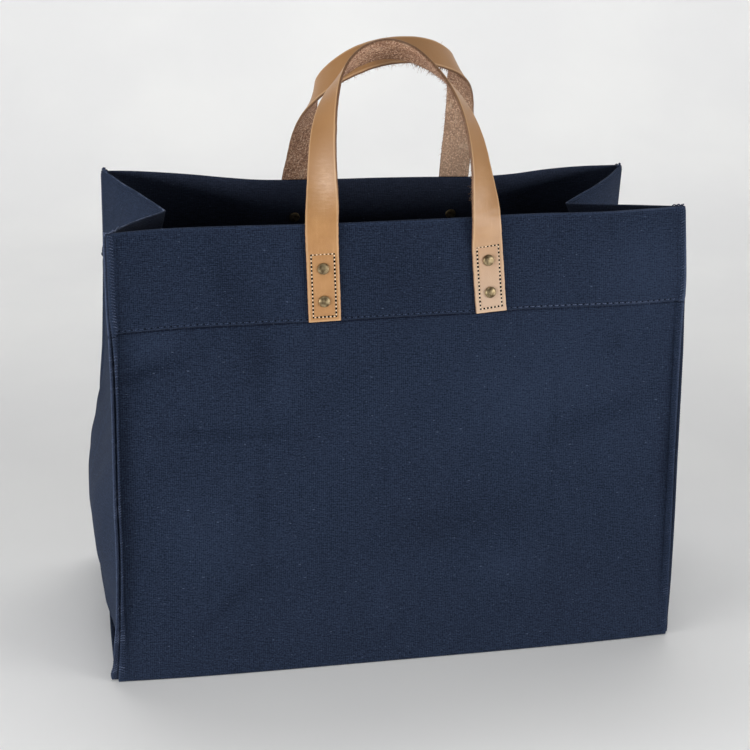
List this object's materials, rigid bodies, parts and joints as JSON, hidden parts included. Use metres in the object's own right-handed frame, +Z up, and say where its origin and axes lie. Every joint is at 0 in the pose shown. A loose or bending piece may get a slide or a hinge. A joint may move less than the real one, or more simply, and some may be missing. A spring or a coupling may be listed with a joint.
{
  "type": "tote bag",
  "caption": "Open box tote bag of heavy canvas with a flat base, side gussets folded in at the mouth, a deep turned hem and riveted leather strap handles.",
  "frame": {"origin": "middle of the bounding box at the underside of the base", "axes": "+Z up, +X to the right across the front panel, +Y from the front panel to the back panel"},
  "size_m": [0.491, 0.2273, 0.4913],
  "materials": {
    "navy_canvas": "matt plain-weave canvas",
    "tan_leather": "smooth grain outside, rough flesh side inside, burnished edges",
    "aged_brass": "aged satin brass"
  },
  "bodies": {
    "root": {"canvas_body": "navy_canvas", "left_gusset": "navy_canvas", "right_gusset": "navy_canvas", "front_handle": "tan_leather", "back_handle": "tan_leather", "rivet_front_left_upper": "aged_brass", "rivet_front_left_lower": "aged_brass", "rivet_front_right_upper": "aged_brass", "rivet_front_right_lower": "aged_brass", "rivet_back_left_upper": "aged_brass", "rivet_back_left_lower": "aged_brass", "rivet_back_right_upper": "aged_brass", "rivet_back_right_lower": "aged_brass"}
  },
  "joints": []
}
